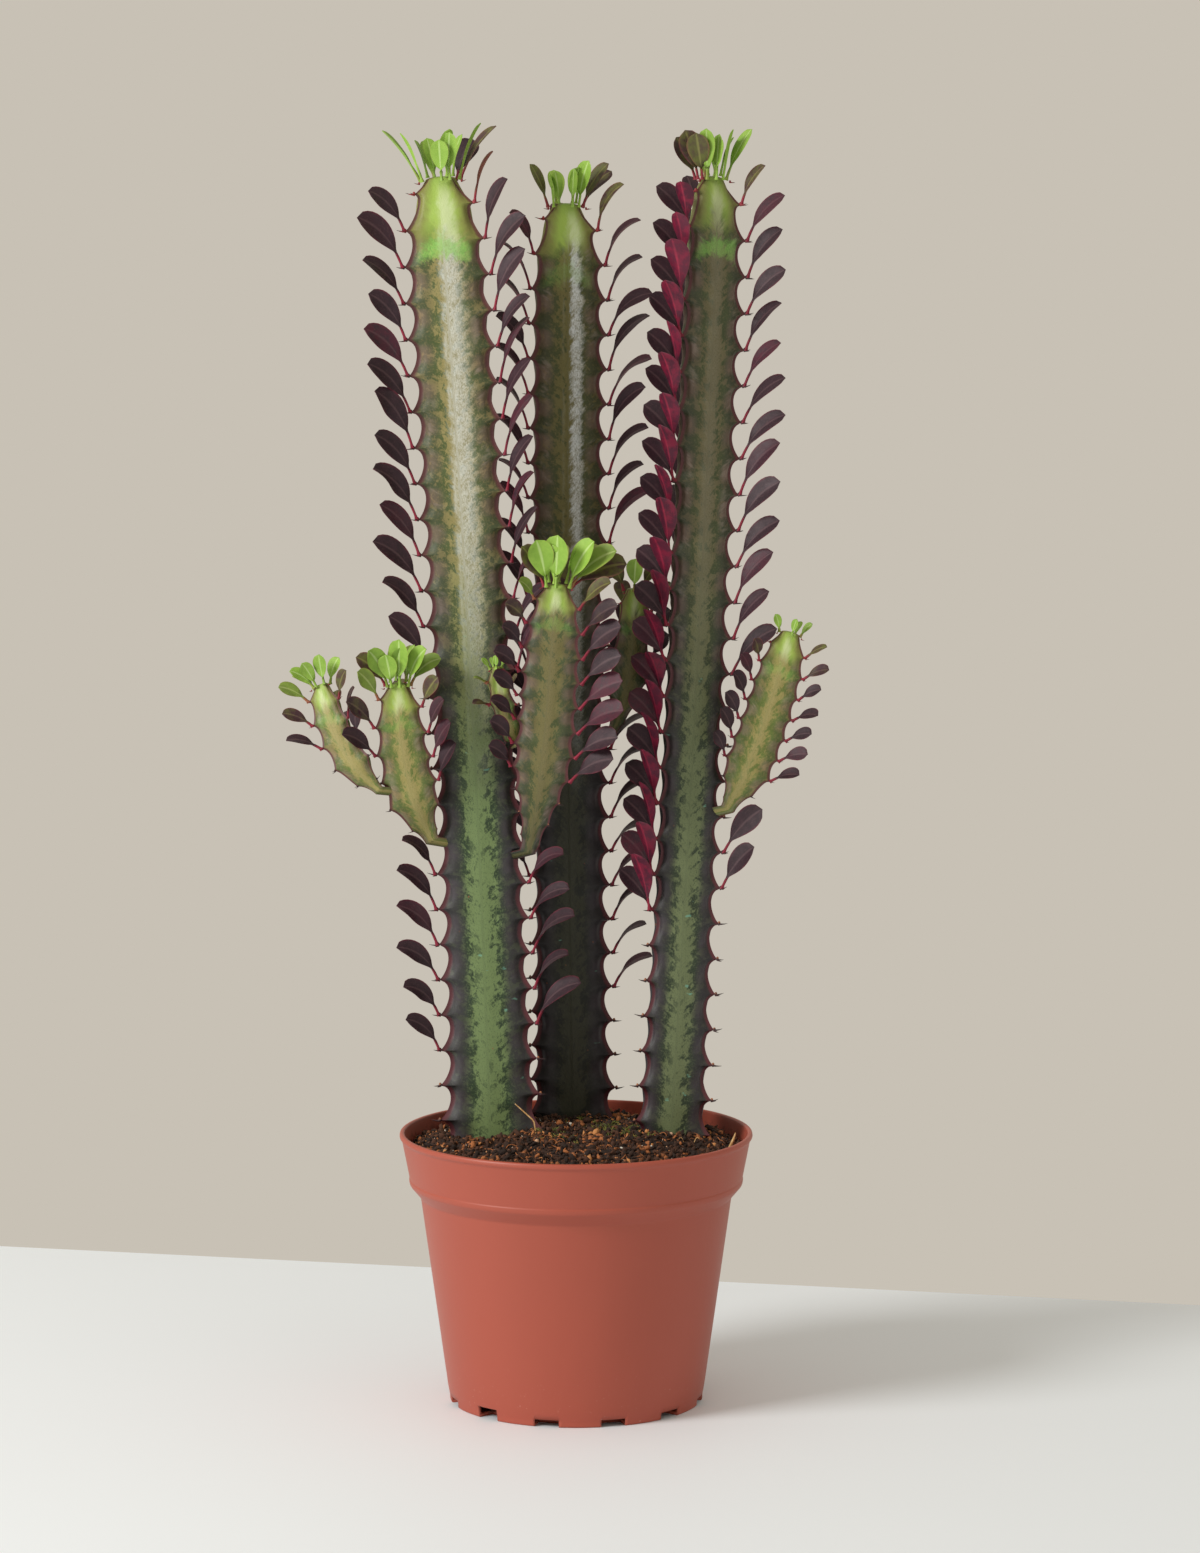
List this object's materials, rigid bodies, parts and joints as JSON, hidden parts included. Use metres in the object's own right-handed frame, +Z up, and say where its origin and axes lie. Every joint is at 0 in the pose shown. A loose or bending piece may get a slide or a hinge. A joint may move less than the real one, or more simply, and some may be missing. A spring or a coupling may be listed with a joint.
{
  "type": "potted euphorbia",
  "caption": "Three-ribbed red-leaved euphorbia with upright stems, small branches and rows of leaves, in a round plastic nursery pot of soil.",
  "frame": {"origin": "centre of the pot's underside, on the surface it stands on", "axes": "+Z up along the stems, +X to the plant's right and -Y towards its front"},
  "size_m": [0.2327, 0.158, 0.5405],
  "materials": {
    "pot_plastic": "satin terracotta-coloured moulded plastic",
    "soil": "dark moist potting mix of peat and coir",
    "stem_skin": "waxy mottled green skin with a pale band and dark flanks",
    "young_stem_skin": "waxy lighter green young skin",
    "red_leaf": "semi-gloss dark red-purple leaf with a crimson underside",
    "young_leaf": "semi-gloss bright green young leaf"
  },
  "bodies": {
    "root": {"centre_branch": "young_stem_skin", "centre_branch_back_leaves": "red_leaf", "centre_branch_crown_leaf_1": "young_leaf", "centre_branch_crown_leaf_2": "young_leaf", "centre_branch_crown_leaf_3": "young_leaf", "centre_branch_crown_leaf_4": "young_leaf", "centre_branch_left_leaves": "red_leaf", "centre_branch_right_leaves": "red_leaf", "front_bud": "young_stem_skin", "front_bud_left_leaves": "red_leaf", "front_bud_right_leaves": "red_leaf", "inner_left_branch": "young_stem_skin", "inner_left_branch_back_leaves": "red_leaf", "inner_left_branch_crown_leaf_1": "young_leaf", "inner_left_branch_crown_leaf_2": "young_leaf", "inner_left_branch_crown_leaf_3": "young_leaf", "inner_left_branch_crown_leaf_4": "young_leaf", "inner_left_branch_left_leaves": "red_leaf", "inner_left_branch_right_leaves": "red_leaf", "left_stem": "stem_skin", "left_stem_back_leaves": "red_leaf", "left_stem_crown_leaf_1": "young_leaf", "left_stem_crown_leaf_2": "young_leaf", "left_stem_crown_leaf_3": "young_leaf", "left_stem_crown_leaf_4": "young_leaf", "left_stem_left_leaves_lower": "red_leaf", "left_stem_left_leaves_upper": "red_leaf", "left_stem_right_leaves_lower": "red_leaf", "left_stem_right_leaves_upper": "red_leaf", "middle_stem": "stem_skin", "middle_stem_back_leaves": "red_leaf", "middle_stem_crown_leaf_1": "young_leaf", "middle_stem_crown_leaf_2": "young_leaf", "middle_stem_crown_leaf_3": "young_leaf", "middle_stem_crown_leaf_4": "young_leaf", "middle_stem_left_leaves": "red_leaf", "middle_stem_right_leaves_lower": "red_leaf", "middle_stem_right_leaves_upper": "red_leaf", "outer_left_branch": "young_stem_skin", "outer_left_branch_back_leaves": "red_leaf", "outer_left_branch_front_leaves": "red_leaf", "outer_left_branch_left_leaves": "red_leaf", "pot": "pot_plastic", "rear_branch": "young_stem_skin", "rear_branch_back_leaves": "red_leaf", "rear_branch_right_leaves": "red_leaf", "right_branch": "young_stem_skin", "right_branch_back_leaves": "red_leaf", "right_branch_left_leaves": "red_leaf", "right_branch_right_leaves": "red_leaf", "right_stem": "stem_skin", "right_stem_back_leaves": "red_leaf", "right_stem_crown_leaf_1": "young_leaf", "right_stem_crown_leaf_2": "young_leaf", "right_stem_crown_leaf_3": "young_leaf", "right_stem_crown_leaf_4": "young_leaf", "right_stem_front_leaves": "red_leaf", "right_stem_right_leaves_lower": "red_leaf", "right_stem_right_leaves_upper": "red_leaf", "soil": "soil"}
  },
  "joints": []
}
